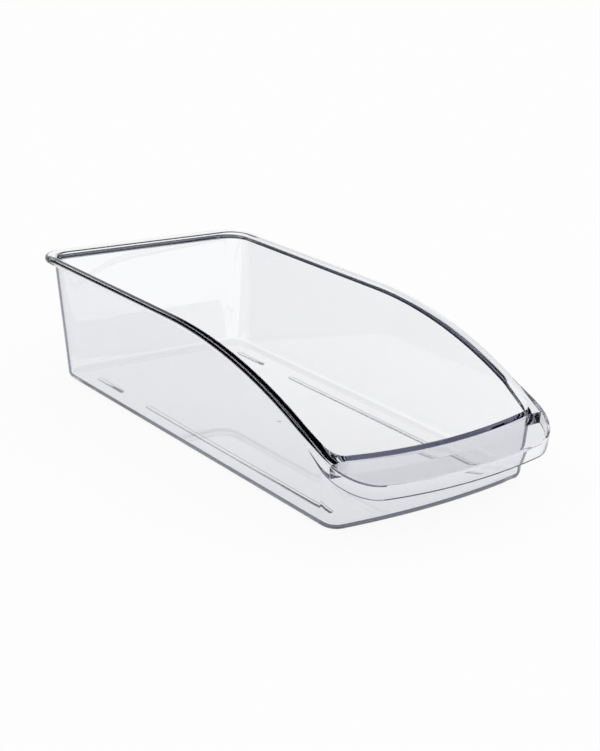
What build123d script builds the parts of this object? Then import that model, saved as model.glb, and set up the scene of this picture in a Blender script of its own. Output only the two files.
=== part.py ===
from build123d import *
import math
import os

# Open fridge bin, injection moulded in one piece of clear plastic, so it is one solid.
# Millimetres, +Z up. X is the width, +Y the rear, -Y the front with the pull handle.
# The origin is the middle of the overall footprint, on the surface that the bin stands on.

# Tub
base_width = 162.0  # outside, under the side walls
base_length = 322.0  # outside, from the rear wall to the crown of the front wall
rim_height = 90.0  # top of the level rim above the surface below
side_draft = 3.0  # outward lean of the walls, degrees
rear_draft = 9.7
front_draft = 1.4
wall = 2.0
floor = 2.4
rear_corner_radius = 16.5
front_corner_radius = 12.0
front_arc_radius = 511.0  # the front wall is bowed forward in plan
bottom_radius = 5.4  # outside, between the floor and the walls

# Side line of the rim: level at the rear, then an arc, then a straight slope down to the front
drop_radius = 330.6
drop_angle = 24.0  # degrees turned by the arc, and so the slope of the front stretch
slope_run = 33.9  # of the front stretch, level, as far as the front wall's crown

# Rim: a solid bar turned outward round the sides and the rear
rim_reach = 4.9
rear_rim_reach = 8.6
rim_thickness = 4.7
inner_edge_radius = 2.2  # between the top of the rim and the inside of the walls
outer_edge_bevel = 1.2
lower_edge_bevel = 1.2

# Pull handle: the rim runs on in front of the front wall as a thin ledge with a deep skirt
handle_reach = 21.9
handle_corner_radius = 28.7
ledge_thickness = 2.2
skirt_depth = 9.3  # below the top of the ledge
skirt_thickness = 1.8
skirt_ramp = 32.0  # length over which the bar of the rim deepens to the skirt
channel_setback = 4.0  # the hollow behind the skirt starts this far behind the front wall's crown

# Runners under the floor, one short and one long on each side
foot_height = 1.0
runner_width = 3.4
runner_spacing = 124.0
short_runner_length = 32.6
runner_gap = 33.3
long_runner_length = 203.0
runner_inset = 24.5  # from the rear of the base

# Mark of the injection gate, a small raised disc in the middle of the floor's inside
gate_diameter = 3.2
gate_height = 0.3

# Worked out from the sizes above
side_lean = math.tan(math.radians(side_draft))
rear_lean = math.tan(math.radians(rear_draft))
front_lean = math.tan(math.radians(front_draft))
slope = math.radians(drop_angle)
rear_y = base_length / 2
crown_y = -base_length / 2
arc_centre_y = crown_y + front_arc_radius
arc_end_y = crown_y + slope_run
arc_start_y = arc_end_y + drop_radius * math.sin(slope)
clear_of = 30.0  # how far cutting shapes stand proud of what they cut
hair = 0.01  # places nearer to each other than this are one
span = base_width + 2 * (rim_reach + rim_height * side_lean + clear_of)


def tapered(bottom, top, side, rear, front, rear_radius, front_radius):
    """Block between two heights with the drafts of the tub, grown by side, rear and front."""
    half = base_width / 2 + side
    back = rear_y + rear
    bow_radius = front_arc_radius + front
    corner_y = arc_centre_y - math.sqrt(bow_radius**2 - half**2)
    bow = ThreePointArc((-half, corner_y), (0, arc_centre_y - bow_radius), (half, corner_y))
    sides = Polyline((half, corner_y), (half, back), (-half, back), (-half, corner_y))
    block = extrude(Pos(0, 0, bottom) * make_face(bow + sides), top - bottom)
    for place in (0, -1):
        block = draft(block.faces().sort_by(Axis.X)[place], Plane.XY, -side_draft)
    block = draft(block.faces().sort_by(Axis.Y)[0], Plane.XY, -front_draft)
    block = draft(block.faces().sort_by(Axis.Y)[-1], Plane.XY, -rear_draft)
    for place, radius in ((-1, rear_radius), (0, front_radius)):
        upright = block.edges().filter_by(lambda edge: abs((edge @ 1 - edge @ 0).Z) > hair)
        block = fillet(upright.group_by(Axis.Y)[place], radius)
    return block


def under_rim(depth, skirt=None):
    """Everything below the side line of the rim, lowered square to it by depth.

    With skirt given, the line falls from depth to skirt along the ramp in front of the arc."""
    top = rim_height - depth
    front_y = arc_centre_y - front_arc_radius - handle_reach - clear_of
    back_y = rear_y + rear_rim_reach + clear_of
    centre = Vector(arc_start_y, rim_height - drop_radius)
    radius = drop_radius - depth

    def on_slope(along, below):
        # A point of the front stretch, along it from the end of the arc
        reach = drop_radius - below
        y = centre.X - reach * math.sin(slope) - along * math.cos(slope)
        return (y, centre.Y + reach * math.cos(slope) - along * math.sin(slope))

    arc_middle = (centre.X - radius * math.sin(slope / 2), centre.Y + radius * math.cos(slope / 2))
    run_out = (arc_end_y - front_y) / math.cos(slope)
    stops = [on_slope(0, depth), on_slope(run_out, depth)]
    if skirt is not None:
        stops = [on_slope(0, depth), on_slope(skirt_ramp, skirt), on_slope(run_out, skirt)]
    line = Polyline((back_y, top), (arc_start_y, top))
    line += ThreePointArc((arc_start_y, top), arc_middle, stops[0])
    line += Polyline(*stops)
    line += Polyline(stops[-1], (stops[-1][0], -clear_of), (back_y, -clear_of), (back_y, top))
    side_view = Plane(origin=(-span / 2, 0, 0), x_dir=(0, 1, 0), z_dir=(1, 0, 0))
    return extrude(side_view * make_face(line), span)


def tub_blank():
    """Outside of the walls and floor, solid and over-high, with the bottom edge rounded."""
    top = rim_height + clear_of
    blank = tapered(foot_height, top, 0, 0, 0, rear_corner_radius, front_corner_radius)
    return fillet(blank.edges().group_by(Axis.Z)[0], bottom_radius)


def cavity():
    """Room inside the bin, with the rounding between floor and walls."""
    inside = tapered(
        foot_height + floor,
        rim_height + clear_of,
        -wall,
        -wall,
        -wall,
        rear_corner_radius - wall,
        front_corner_radius - wall,
    )
    return fillet(inside.edges().group_by(Axis.Z)[0], bottom_radius - wall)


def rim_blank(inset):
    """Over-high blank of the rim and handle, inset from their edge."""
    return tapered(
        foot_height,
        rim_height + clear_of,
        rim_reach - inset,
        rear_rim_reach - inset,
        handle_reach - inset,
        rear_corner_radius + rim_reach - inset,
        handle_corner_radius - inset,
    )


def channel():
    """Finger room behind the skirt, below the ledge, open to below."""
    front = Pos(0, crown_y + channel_setback - span / 2, 0) * Box(span, span, span)
    return rim_blank(skirt_thickness) & under_rim(ledge_thickness) & front


def rim():
    """Bar of the rim and the handle, over-high, before the tub fills its middle."""
    return rim_blank(0) - under_rim(rim_thickness, skirt_depth) - channel()


def runner(x, rear_end, length):
    """Low rib with round ends under the floor."""
    shape = SlotOverall(length, runner_width, rotation=90)
    return Pos(x, rear_end - length / 2, 0) * extrude(shape, foot_height + floor / 2)


def runners():
    """The short and the long runner of each side."""
    short_end = rear_y - runner_inset
    long_end = short_end - short_runner_length - runner_gap
    ribs = []
    for x in (-runner_spacing / 2, runner_spacing / 2):
        ribs.append(runner(x, short_end, short_runner_length))
        ribs.append(runner(x, long_end, long_runner_length))
    return ribs


def gate_mark():
    """Raised disc on the inside of the floor."""
    height = floor / 2 + gate_height
    return Pos(0, 0, foot_height + floor / 2) * extrude(Circle(gate_diameter / 2), height)


def depth_of(point):
    """Depth of a point below the side line of the rim, square to it."""
    ahead = arc_start_y - point.Y
    above = point.Z - (rim_height - drop_radius)
    turned = min(max(math.atan2(ahead, above), 0), slope)
    return drop_radius - ahead * math.sin(turned) - above * math.cos(turned)


def rim_edges(shell, tub, depth, outer):
    """Edges of the rim at a depth, on its outer or inner side, without the seams across it."""
    seams = (arc_start_y, arc_start_y - (drop_radius - depth) * math.sin(slope))
    edges = ShapeList()
    for edge in shell.edges():
        ends = (edge @ 0, edge @ 1)
        at_depth = all(abs(depth_of(end) - depth) < hair for end in ends)
        across = any(all(abs(end.Y - y) < hair for end in ends) for y in seams)
        beyond_tub = not tub.is_inside(edge @ 0.5, hair)
        if at_depth and not across and beyond_tub == outer:
            edges.append(edge)
    return edges


def eased(shell, tub):
    """The shell with its rim's edges broken: top outside, top inside and below the bar."""
    shell = chamfer(rim_edges(shell, tub, 0, True), outer_edge_bevel)
    shell = fillet(rim_edges(shell, tub, 0, False), inner_edge_radius)
    return chamfer(rim_edges(shell, tub, rim_thickness, True), lower_edge_bevel)


def bin_solid():
    """The whole moulding: a shell whose halves mirror each other, with runners and a gate mark."""
    tub = tub_blank()
    shell = ((tub + rim()) & under_rim(0)) - cavity()
    right = eased(shell, tub) & Pos(span / 2, 0, 0) * Box(span, 2 * base_length, 2 * rim_height)
    shell = right + mirror(right, about=Plane.YZ)
    for rib in runners():
        shell += rib
    shell += gate_mark()
    return shell


def centred(solid):
    """Moved so that the overall footprint is centred on the origin."""
    box = solid.bounding_box()
    return Pos(0, -(box.min.Y + box.max.Y) / 2, 0) * solid


os.makedirs("parts", exist_ok=True)
export_step(centred(bin_solid()), "parts/bin.step")
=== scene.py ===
import math

import bmesh
import bpy
from mathutils import Matrix, Vector


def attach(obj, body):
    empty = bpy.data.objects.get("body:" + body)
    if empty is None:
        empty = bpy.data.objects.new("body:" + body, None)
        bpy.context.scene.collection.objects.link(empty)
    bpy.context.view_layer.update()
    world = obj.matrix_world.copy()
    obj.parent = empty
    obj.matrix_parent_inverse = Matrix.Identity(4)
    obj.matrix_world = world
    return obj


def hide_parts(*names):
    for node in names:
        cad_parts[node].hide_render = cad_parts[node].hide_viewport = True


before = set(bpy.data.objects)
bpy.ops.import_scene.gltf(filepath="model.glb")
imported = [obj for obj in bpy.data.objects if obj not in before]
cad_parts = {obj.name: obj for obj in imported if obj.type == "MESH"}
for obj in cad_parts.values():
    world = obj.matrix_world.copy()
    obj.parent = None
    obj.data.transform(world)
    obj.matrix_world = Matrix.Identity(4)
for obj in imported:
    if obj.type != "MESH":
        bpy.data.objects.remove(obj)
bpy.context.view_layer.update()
scene = bpy.context.scene


# Shell of the bin: tub, turned-out rim and pull handle, injection moulded in clear
# styrene plastic from a polished mould. The rim is a rounded bar round the sides and
# the rear, and in front it runs on as a thin ledge with a skirt to pull by.
base_width = 0.162
base_length = 0.322
side_lean = math.tan(math.radians(3.0))
rear_lean = math.tan(math.radians(9.7))
front_lean = math.tan(math.radians(1.4))
front_arc_radius = 0.511
rear_y = base_length / 2
crown_y = -base_length / 2
arc_centre_y = crown_y + front_arc_radius
side_steps = 84
rear_steps = 30
bow_steps = 44
corner_steps = 14


def outline(height, side, rear, front, rear_radius, front_radius):
    """Plan of the tub at a height, grown by side, rear and front: a bowed front, round corners."""
    half = base_width / 2 + height * side_lean + side
    back = rear_y + height * rear_lean + rear
    bow = front_arc_radius + height * front_lean + front
    corner_x = half - front_radius
    corner_y = arc_centre_y - math.sqrt((bow - front_radius) ** 2 - corner_x**2)
    turn = math.atan2(corner_y - arc_centre_y, corner_x)
    points = []

    def straight(start, end, steps):
        for step in range(steps):
            points.append(Vector(start).lerp(Vector(end), step / steps))

    def arc(x, y, radius, start, end, steps):
        for step in range(steps):
            angle = start + (end - start) * step / steps
            points.append(Vector((x + radius * math.cos(angle), y + radius * math.sin(angle))))

    straight((half, corner_y), (half, back - rear_radius), side_steps)
    arc(half - rear_radius, back - rear_radius, rear_radius, 0, math.pi / 2, corner_steps)
    straight((half - rear_radius, back), (rear_radius - half, back), rear_steps)
    arc(rear_radius - half, back - rear_radius, rear_radius, math.pi / 2, math.pi, corner_steps)
    straight((-half, back - rear_radius), (-half, corner_y), side_steps)
    arc(-corner_x, corner_y, front_radius, math.pi, math.pi - turn, corner_steps)
    arc(0, arc_centre_y, bow, math.pi - turn, 2 * math.pi + turn, bow_steps)
    arc(corner_x, corner_y, front_radius, turn, 0, corner_steps)
    return points


# Side line of the rim: level at the rear, an arc, then a straight slope to the front
rim_height = 0.090
drop_radius = 0.3306
slope = math.radians(24.0)
slope_run = 0.0339
arc_end_y = crown_y + slope_run
arc_start_y = arc_end_y + drop_radius * math.sin(slope)
front_run = 0.09
skirt_depth = 0.0093
skirt_ramp = 0.032


def on_slope(along, depth):
    """Point of the straight front stretch, at a depth square to it: y and z."""
    reach = drop_radius - depth
    return (
        arc_start_y - reach * math.sin(slope) - along * math.cos(slope),
        rim_height - drop_radius + reach * math.cos(slope) - along * math.sin(slope),
    )


def side_line(y, depth, skirt=None):
    """Height of the rim's side line at a depth: level, an arc, the slope; down to the skirt if asked."""
    if y >= arc_start_y:
        return rim_height - depth
    stops = [on_slope(0, depth), on_slope(front_run, depth)]
    if skirt is not None:
        stops = [on_slope(0, depth), on_slope(skirt_ramp, skirt), on_slope(front_run, skirt)]
    if y >= stops[0][0]:
        reach = drop_radius - depth
        return rim_height - drop_radius + math.sqrt(reach**2 - (y - arc_start_y) ** 2)
    for (y0, z0), (y1, z1) in zip(stops, stops[1:]):
        if y >= y1:
            return z0 + (z1 - z0) * (y - y0) / (y1 - y0)
    return stops[-1][1]


def handle_share(y):
    """How far the bar of the rim has changed into the handle at y: 0 at the sides, 1 in front."""
    part = (arc_end_y - y) / (arc_end_y - on_slope(skirt_ramp, skirt_depth)[0])
    part = min(max(part, 0), 1)
    return part * part * (3 - 2 * part)


def shared(bar_size, handle_size, y):
    """A size that is bar_size round the sides and rear, and handle_size in front."""
    return bar_size + (handle_size - bar_size) * handle_share(y)


# Lines round the moulding: the tub's by its corner radii, the rim's by its reach
foot_height = 0.001
section_top = rim_height + 0.03
rear_corner_radius = 0.0165
front_corner_radius = 0.012
rim_reach = 0.0049
rear_rim_reach = 0.0086
handle_reach = 0.0219
handle_corner_radius = 0.0287
bar_inner_radius = 0.0022
rear_inner_radius = 0.0010
handle_inner_radius = 0.0004


def inner_radius(y):
    """Radius of the rim's inner edge at y: full at the sides, tighter along the rear and in front."""
    part = min(max((y - rear_y + rear_corner_radius) / rear_corner_radius, 0), 1)
    return shared(bar_inner_radius + (rear_inner_radius - bar_inner_radius) * part, handle_inner_radius, y)


def ring(grow, height_at, handle_grow=None):
    """Closed line round the moulding: the outline grown by grow, each point at height_at(its y)."""
    lines = []
    for each in (grow, handle_grow or grow):
        lines.append(outline(foot_height, *each))
        lines.append(outline(section_top, *each))
    points = []
    for low, high, handle_low, handle_high in zip(*lines):
        z = rim_height / 2
        for _ in range(8):
            part = (z - foot_height) / (section_top - foot_height)
            place = low.lerp(high, part)
            place = place.lerp(handle_low.lerp(handle_high, part), handle_share(place.y))
            z = height_at(place.y)
        points.append(place.to_3d() + Vector((0, 0, z)))
    return points


def tub_grow(offset):
    """Growth from the outside of the walls, outward."""
    return (offset, offset, offset, rear_corner_radius + offset, front_corner_radius + offset)


def inner_grow(side, rear):
    """Growth from the outside of the walls to the rim's inner edge, sides and rear apart."""
    return (side, rear, side, rear_corner_radius + rear, front_corner_radius + side)


def rim_grow(inset):
    """Growth from the tub to the edge of the rim and handle, less an inset."""
    return (
        rim_reach - inset,
        rear_rim_reach - inset,
        handle_reach - inset,
        rear_corner_radius + rim_reach - inset,
        handle_corner_radius - inset,
    )


def between(first, last, part):
    """Growth a part of the way from the first to the last."""
    return tuple(a + (b - a) * part for a, b in zip(first, last))


def quarter(steps):
    """How far a quarter round has come in and gone along, step by step, as shares of its radius."""
    angles = [math.pi / 2 * step / steps for step in range(steps + 1)]
    return [(1 - math.cos(angle), 1 - math.sin(angle)) for angle in angles]


# Inside of the floor, the cove and the walls
wall = 0.002
floor = 0.0024
bottom_radius = 0.0054
floor_top = foot_height + floor
cove = bottom_radius - wall
inside_start = floor_top + cove
facet = 0.0008
flat_reach = 5 * facet
edge_steps = 8
rings = []
rings.append(ring(tub_grow(-bottom_radius - flat_reach), lambda y: floor_top))
rings.append(ring(tub_grow(-bottom_radius - facet), lambda y: floor_top))
for come, gone in reversed(quarter(edge_steps - 2)):
    rings.append(ring(tub_grow(-wall - cove * come), lambda y: floor_top + cove * gone))
rings.append(ring(tub_grow(-wall), lambda y: inside_start + facet))
for part in (0.25, 0.5, 0.75):
    rings.append(ring(
        tub_grow(-wall),
        lambda y: inside_start + (side_line(y, bar_inner_radius) - inside_start) * part,
    ))
rings.append(ring(tub_grow(-wall), lambda y: side_line(y, inner_radius(y) + facet)))

# Round inner edge of the rim
for come, gone in quarter(edge_steps):
    rings.append(ring(
        inner_grow(bar_inner_radius * come - wall, rear_inner_radius * come - wall),
        lambda y: side_line(y, inner_radius(y) * gone),
        tub_grow(handle_inner_radius * come - wall),
    ))

# Top of the bar, which falls slightly outward, and of the ledge
bar_outer_radius = 0.0021
bar_top_fall = 0.0003
handle_outer_radius = 0.0009
for part in (0.08, 0.36, 0.64, 0.92):
    rings.append(ring(
        between(
            inner_grow(bar_inner_radius - wall, rear_inner_radius - wall), rim_grow(bar_outer_radius), part
        ),
        lambda y: side_line(y, shared(bar_top_fall, 0, y) * part),
        between(tub_grow(handle_inner_radius - wall), rim_grow(handle_outer_radius), part),
    ))

# Round outer edge, outer face, round lower edge
rim_thickness = 0.0047
skirt_edge_radius = 0.0006
for come, gone in reversed(quarter(edge_steps)):
    rings.append(ring(
        rim_grow(bar_outer_radius * come),
        lambda y: side_line(
            y, shared(bar_top_fall + bar_outer_radius * gone, handle_outer_radius * gone, y)
        ),
        rim_grow(handle_outer_radius * come),
    ))
for part in (0.12, 0.5, 0.88):
    rings.append(ring(
        rim_grow(0),
        lambda y: side_line(y, shared(bar_top_fall + bar_outer_radius, handle_outer_radius, y)) * (1 - part)
        + side_line(y, rim_thickness - bar_outer_radius, skirt_depth - skirt_edge_radius) * part,
    ))
for come, gone in quarter(edge_steps):
    rings.append(ring(
        rim_grow(bar_outer_radius * come),
        lambda y: side_line(
            y, rim_thickness - bar_outer_radius * gone, skirt_depth - skirt_edge_radius * gone
        ),
        rim_grow(skirt_edge_radius * come),
    ))

# Underside, a little deeper at the wall than at the edge
bar_root_drop = 0.0007
root_radius = 0.0005
root_steps = 4
for part in (0.08, 0.5, 0.92):
    rings.append(ring(
        between(rim_grow(bar_outer_radius), tub_grow(root_radius), part),
        lambda y: side_line(y, rim_thickness + bar_root_drop * part, skirt_depth),
        between(rim_grow(skirt_edge_radius), tub_grow(root_radius), part),
    ))
root_depth = rim_thickness + bar_root_drop
for come, gone in reversed(quarter(root_steps)):
    rings.append(ring(
        tub_grow(root_radius * come),
        lambda y: side_line(y, root_depth + root_radius * gone, skirt_depth + root_radius * gone),
    ))
wall_depth = root_depth + root_radius + facet
skirt_root = skirt_depth + root_radius
rings.append(ring(tub_grow(0), lambda y: side_line(y, wall_depth, skirt_root + facet)))

# Outside of the walls, the bottom edge and the underside of the floor
outside_start = foot_height + bottom_radius
for part in (0.75, 0.5, 0.25):
    rings.append(ring(
        tub_grow(0),
        lambda y: outside_start + (side_line(y, wall_depth, skirt_root) - outside_start) * part,
    ))
rings.append(ring(tub_grow(0), lambda y: outside_start + facet))
for come, gone in quarter(edge_steps):
    rings.append(ring(tub_grow(-bottom_radius * come), lambda y: foot_height + bottom_radius * gone))
rings.append(ring(tub_grow(-bottom_radius - facet), lambda y: foot_height))
rings.append(ring(tub_grow(-bottom_radius - flat_reach), lambda y: foot_height))


def placed(name, shape):
    """New object in the scene from a bmesh, which is freed."""
    bmesh.ops.recalc_face_normals(shape, faces=shape.faces)
    mesh = bpy.data.meshes.new(name)
    shape.to_mesh(mesh)
    shape.free()
    piece = bpy.data.objects.new(name, mesh)
    scene.collection.objects.link(piece)
    return piece


def skinned(shape, lines, closed=False):
    """Faces from each closed line to the next, and back to the first if closed; their corners."""
    loops = [[shape.verts.new(point) for point in line] for line in lines]
    pairs = list(zip(loops, loops[1:]))
    if closed:
        pairs.append((loops[-1], loops[0]))
    for first, second in pairs:
        for i in range(len(first)):
            j = (i + 1) % len(first)
            shape.faces.new((first[i], first[j], second[j], second[i]))
    return loops


shape = bmesh.new()
loops = skinned(shape, rings)
shape.faces.new(loops[0])
shape.faces.new(loops[-1])
shell = placed("shell", shape)


# Finger channel: the hollow behind the handle's skirt and under its ledge, left by a
# core of the mould. It stops a little behind the crown of the front wall, so the
# corners of the handle are solid there.
ledge_thickness = 0.0022
skirt_thickness = 0.0018
channel_setback = 0.004
past_skirt = 0.002
graze = 0.00001

lines = [ring(rim_grow(skirt_thickness), lambda y: side_line(y, skirt_depth + past_skirt))]
for come, gone in quarter(root_steps):
    lines.append(ring(
        rim_grow(skirt_thickness + root_radius * come),
        lambda y: side_line(y, ledge_thickness + root_radius * gone),
    ))
for part in (0.1, 0.5, 0.9):
    lines.append(ring(
        between(rim_grow(skirt_thickness + root_radius), tub_grow(root_radius), part),
        lambda y: side_line(y, ledge_thickness),
    ))
for come, gone in reversed(quarter(root_steps)):
    lines.append(ring(
        tub_grow(graze + root_radius * come),
        lambda y: side_line(y, ledge_thickness + root_radius * gone),
    ))
lines.append(ring(tub_grow(graze), lambda y: side_line(y, skirt_depth + past_skirt)))
shape = bmesh.new()
skinned(shape, lines, closed=True)
channel = placed("channel", shape)

shape = bmesh.new()
bmesh.ops.create_cube(shape, size=2 * base_length)
shape.transform(Matrix.Translation((0, crown_y + channel_setback - base_length, 0)))
front_part = placed("front_part", shape)


def cut(target, tool, operation):
    """Boolean of two pieces, kept as a modifier until the whole moulding is made."""
    modifier = target.modifiers.new(tool.name, "BOOLEAN")
    modifier.solver = "EXACT"
    modifier.operation = operation
    modifier.object = tool


cut(channel, front_part, "INTERSECT")
cut(shell, channel, "DIFFERENCE")


# Runners: low ribs with round ends under the floor, a short and a long one on each
# side, moulded in one with it to keep it off the shelf. Small rounds ease their lower
# edges and the corners where they meet the floor.
runner_width = 0.0034
runner_spacing = 0.124
runner_edge = 0.0003
runner_root = 0.0003
runner_steps = 3
runner_end_steps = 12
runner_inset = 0.0245
short_runner = 0.0326
runner_gap = 0.0333
long_runner = 0.203


def runner_line(x, rear_end, length, inset, z):
    """Stadium outline of a runner at a height, inset from its sides."""
    radius = runner_width / 2
    points = []
    for centre, first in ((rear_end - radius, 0), (rear_end - length + radius, math.pi)):
        for step in range(runner_end_steps + 1):
            angle = first + math.pi * step / runner_end_steps
            reach = radius - inset
            points.append(Vector((x + reach * math.cos(angle), centre + reach * math.sin(angle), z)))
    return points


added = []
short_end = rear_y - runner_inset
long_end = short_end - short_runner - runner_gap
for x in (-runner_spacing / 2, runner_spacing / 2):
    for rear_end, length in ((short_end, short_runner), (long_end, long_runner)):
        lines = [runner_line(x, rear_end, length, -runner_root, foot_height + floor / 2)]
        for come, gone in reversed(quarter(runner_steps)):
            z = foot_height - runner_root * gone
            lines.append(runner_line(x, rear_end, length, -runner_root * come, z))
        for come, gone in quarter(runner_steps):
            lines.append(runner_line(x, rear_end, length, runner_edge * come, runner_edge * gone))
        shape = bmesh.new()
        loops = skinned(shape, lines)
        shape.faces.new(loops[0])
        shape.faces.new(loops[-1])
        added.append(placed("runner", shape))


# Gate mark: the small raised disc that the mould's gate leaves in the middle of the
# floor, on the inside.
gate_radius = 0.0016
gate_height = 0.0003
gate_taper = 0.9
shape = bmesh.new()
bmesh.ops.create_cone(
    shape,
    cap_ends=True,
    segments=32,
    radius1=gate_radius,
    radius2=gate_radius * gate_taper,
    depth=floor / 2 + gate_height,
    matrix=Matrix.Translation((0, 0, floor_top - floor / 4 + gate_height / 2)),
)
added.append(placed("gate_mark", shape))


# The whole moulding, one piece as it leaves the mould, in clear polished styrene with
# the faint waves of flow in its faces and the light haze of handling.
for piece in added:
    cut(shell, piece, "UNION")
mesh = bpy.data.meshes.new_from_object(shell.evaluated_get(bpy.context.evaluated_depsgraph_get()))
for piece in [shell, channel, front_part] + added:
    bpy.data.objects.remove(piece)
depth_range = [vertex.co.y for vertex in mesh.vertices]
centring = -(min(depth_range) + max(depth_range)) / 2
mesh.transform(Matrix.Translation((0, centring, 0)))
mesh.shade_smooth()
mesh.set_sharp_from_angle(angle=math.radians(40))

# The underside of the floor stays flat right up to the runners
for edge in mesh.edges:
    ends = [mesh.vertices[index].co for index in edge.vertices]
    under_floor = all(abs(end.z - foot_height) < graze for end in ends)
    at_runner = all(abs(abs(end.x) - runner_spacing / 2) < runner_width for end in ends)
    if under_floor and at_runner:
        edge.use_edge_sharp = True
moulding = bpy.data.objects.new("bin_moulding", mesh)
scene.collection.objects.link(moulding)

clear_plastic = bpy.data.materials.new("clear_plastic")
clear_plastic.use_nodes = True
nodes = clear_plastic.node_tree.nodes
links = clear_plastic.node_tree.links
shader = nodes["Principled BSDF"]
shader.inputs["Base Color"].default_value = (0.965, 0.968, 0.985, 1)
shader.inputs["Transmission Weight"].default_value = 1.0
shader.inputs["Roughness"].default_value = 0.0
shader.inputs["IOR"].default_value = 1.58
handled = nodes.new("ShaderNodeTexNoise")
handled.inputs["Scale"].default_value = 35.0
handled.inputs["Detail"].default_value = 3.0
haze = nodes.new("ShaderNodeMapRange")
haze.inputs["From Min"].default_value = 0.55
haze.inputs["From Max"].default_value = 0.85
haze.inputs["To Min"].default_value = 0.0
haze.inputs["To Max"].default_value = 0.02
links.new(handled.outputs["Fac"], haze.inputs["Value"])
links.new(haze.outputs["Result"], shader.inputs["Roughness"])
flow = nodes.new("ShaderNodeTexNoise")
flow.inputs["Scale"].default_value = 18.0
flow.inputs["Detail"].default_value = 1.0
waves = nodes.new("ShaderNodeBump")
waves.inputs["Strength"].default_value = 0.02
waves.inputs["Distance"].default_value = 0.0001
links.new(flow.outputs["Fac"], waves.inputs["Height"])
links.new(waves.outputs["Normal"], shader.inputs["Normal"])
mesh.materials.append(clear_plastic)
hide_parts("bin")
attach(moulding, "root")

# Light that runs along inside the plastic is followed until it comes out
scene.cycles.max_bounces = 32
scene.cycles.transmission_bounces = 32
scene.cycles.glossy_bounces = 16


# Studio floor: a plain white sweep, far larger than the picture, which keeps the bin's
# faint shadow. Rays thrown about inside the plastic find it painted a slate shade, in
# place of dark cards round a clear product, so that the plastic's edges turn dark with painted shade.
floor_reach = 4.0
below_runners = Matrix.Translation((0, 0, -0.0001))


def combined(tree, operation, first, second):
    """Math node of two inputs, each an output of another node or a number; its own output."""
    node = tree.nodes.new("ShaderNodeMath")
    node.operation = operation
    for socket, source in zip(node.inputs, (first, second)):
        if isinstance(source, float):
            socket.default_value = source
        else:
            tree.links.new(source, socket)
    return node.outputs[0]


shape = bmesh.new()
bmesh.ops.create_grid(shape, x_segments=1, y_segments=1, size=floor_reach, matrix=below_runners)
studio_floor = placed("studio_floor", shape)
floor_white = bpy.data.materials.new("floor_white")
floor_white.use_nodes = True
nodes = floor_white.node_tree.nodes
links = floor_white.node_tree.links
nodes.clear()
grain = nodes.new("ShaderNodeTexNoise")
grain.inputs["Scale"].default_value = 60.0
grain_tone = nodes.new("ShaderNodeMapRange")
grain_tone.inputs["To Min"].default_value = 0.79
grain_tone.inputs["To Max"].default_value = 0.81
links.new(grain.outputs["Fac"], grain_tone.inputs["Value"])
paint = nodes.new("ShaderNodeBsdfDiffuse")
links.new(grain_tone.outputs["Result"], paint.inputs["Color"])
rays = nodes.new("ShaderNodeLightPath").outputs
tree = floor_white.node_tree
bent = combined(tree, "MAXIMUM", rays["Is Transmission Ray"], rays["Is Glossy Ray"])
seen = combined(tree, "MAXIMUM", bent, rays["Is Camera Ray"])
share = combined(tree, "MULTIPLY", seen, 0.93)
# Painted shade: rays that reflected inside the plastic and then pass out through it see the floor glow dark
# slate instead of white, which paints the plastic's edges dark.
thrown = combined(tree, "GREATER_THAN", rays["Glossy Depth"], 0.5)
painted_shade_rays = combined(tree, "MULTIPLY", thrown, rays["Is Transmission Ray"])
white_or_painted_edge_shade = nodes.new("ShaderNodeMixRGB")
white_or_painted_edge_shade.inputs[1].default_value = (1, 1, 1, 1)
white_or_painted_edge_shade.inputs[2].default_value = (0.12, 0.125, 0.19, 1)
links.new(painted_shade_rays, white_or_painted_edge_shade.inputs[0])
glow = nodes.new("ShaderNodeEmission")
glow.inputs["Strength"].default_value = 1.0
links.new(white_or_painted_edge_shade.outputs[0], glow.inputs["Color"])
lit = nodes.new("ShaderNodeMixShader")
links.new(share, lit.inputs[0])
links.new(paint.outputs[0], lit.inputs[1])
links.new(glow.outputs[0], lit.inputs[2])
out = nodes.new("ShaderNodeOutputMaterial")
links.new(lit.outputs[0], out.inputs[0])
studio_floor.data.materials.append(floor_white)
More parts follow.
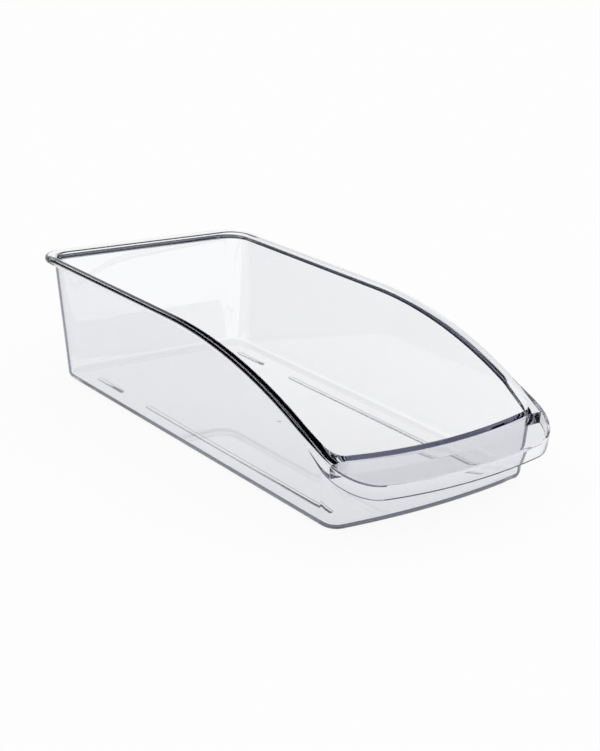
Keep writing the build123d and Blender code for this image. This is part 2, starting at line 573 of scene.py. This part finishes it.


# Room: white all round for the camera and for the light it gives, but dark overhead in
# reflections and refractions only, a painted dark reflection in place of a black card hung
# above a clear product. The rounded edges bend it into view as near-black lines of painted shade, while the
# flat walls show the white.
world = bpy.data.worlds.new("studio")
scene.world = world
world.use_nodes = True
nodes = world.node_tree.nodes
links = world.node_tree.links
background = nodes["Background"]
background.inputs["Strength"].default_value = 1.0
direction = nodes.new("ShaderNodeTexCoord")
height = nodes.new("ShaderNodeSeparateXYZ")
links.new(direction.outputs["Generated"], height.inputs[0])
fade = nodes.new("ShaderNodeMapRange")
fade.interpolation_type = "SMOOTHSTEP"
fade.inputs["From Min"].default_value = 0.32
fade.inputs["From Max"].default_value = 0.5
links.new(height.outputs["Z"], fade.inputs["Value"])
rays = nodes.new("ShaderNodeLightPath").outputs
bent = combined(world.node_tree, "MAXIMUM", rays["Is Glossy Ray"], rays["Is Transmission Ray"])
share = combined(world.node_tree, "MULTIPLY", fade.outputs["Result"], bent)
# Painted reflection: near-black overhead for reflected and refracted rays only, white for every other ray.
room_with_painted_dark_overhead = nodes.new("ShaderNodeMixRGB")
room_with_painted_dark_overhead.inputs[1].default_value = (1, 1, 1, 1)
room_with_painted_dark_overhead.inputs[2].default_value = (0.012, 0.012, 0.03, 1)
links.new(share, room_with_painted_dark_overhead.inputs[0])
links.new(room_with_painted_dark_overhead.outputs[0], background.inputs["Color"])


# Camera: a long lens, from above the near front corner, rolled slightly. Its place and
# turn are those at which the bin's corners and rim fall on the photograph's.
camera_place = Vector((-0.5730, -0.7265 + centring, 0.3614))
azimuth = math.radians(-38.98)
elevation = math.radians(19.31)
roll = math.radians(3.41)
focal_pixels = 1437.8
picture_width = 600
camera_data = bpy.data.cameras.new("camera")
camera_data.sensor_fit = "HORIZONTAL"
camera_data.sensor_width = 36.0
camera_data.lens = focal_pixels / picture_width * camera_data.sensor_width
camera = bpy.data.objects.new("camera", camera_data)
scene.collection.objects.link(camera)
back = Vector((
    math.sin(azimuth) * math.cos(elevation),
    -math.cos(azimuth) * math.cos(elevation),
    math.sin(elevation),
))
right = Vector((math.cos(azimuth), math.sin(azimuth), 0.0))
up = back.cross(right)
turn = Matrix.Rotation(roll, 3, back)
axes = Matrix((turn @ right, turn @ up, back)).transposed()
camera.matrix_world = Matrix.Translation(camera_place) @ axes.to_4x4()
scene.camera = camera
scene.view_settings.view_transform = "Standard"
